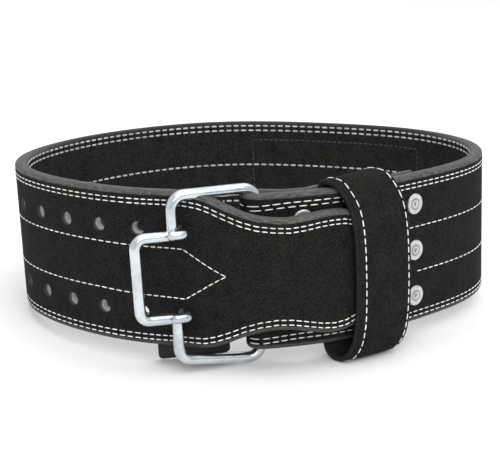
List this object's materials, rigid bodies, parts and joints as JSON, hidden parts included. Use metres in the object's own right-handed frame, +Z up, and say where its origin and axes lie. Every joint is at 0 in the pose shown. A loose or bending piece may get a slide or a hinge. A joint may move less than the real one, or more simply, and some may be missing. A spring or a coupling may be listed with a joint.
{
  "type": "weightlifting belt",
  "caption": "Wide black suede lifting belt buckled into an oval ring, with white stitching, a stepped wire prong buckle, a riveted fold, a keeper loop and a narrowed tongue.",
  "frame": {"origin": "middle of the bounding box's footprint, on the surface that the belt stands on", "axes": "+Z up, +X from the free end's side to the keeper's side, +Y from the buckle to the back of the waist"},
  "size_m": [0.3422, 0.2988, 0.1213],
  "materials": {
    "strap_suede": "matt black suede with white stitching, burnished grey-brown edges",
    "keeper_suede": "matt black suede with white stitching near both edges",
    "guard_leather": "thin smooth black leather",
    "frame_zinc": "bright zinc plated round wire",
    "prong_zinc": "bright zinc plated round wire",
    "rivet_metal": "dull nickel plated, ringed head"
  },
  "bodies": {
    "root": {"strap": "strap_suede", "keeper_loop": "keeper_suede", "guard_flap": "guard_leather", "buckle_frame": "frame_zinc", "prong_upper": "prong_zinc", "prong_lower": "prong_zinc", "rivet_fold_top": "rivet_metal", "rivet_fold_middle": "rivet_metal", "rivet_fold_bottom": "rivet_metal", "rivet_rear_top": "rivet_metal", "rivet_rear_middle": "rivet_metal", "rivet_rear_bottom": "rivet_metal"}
  },
  "joints": []
}
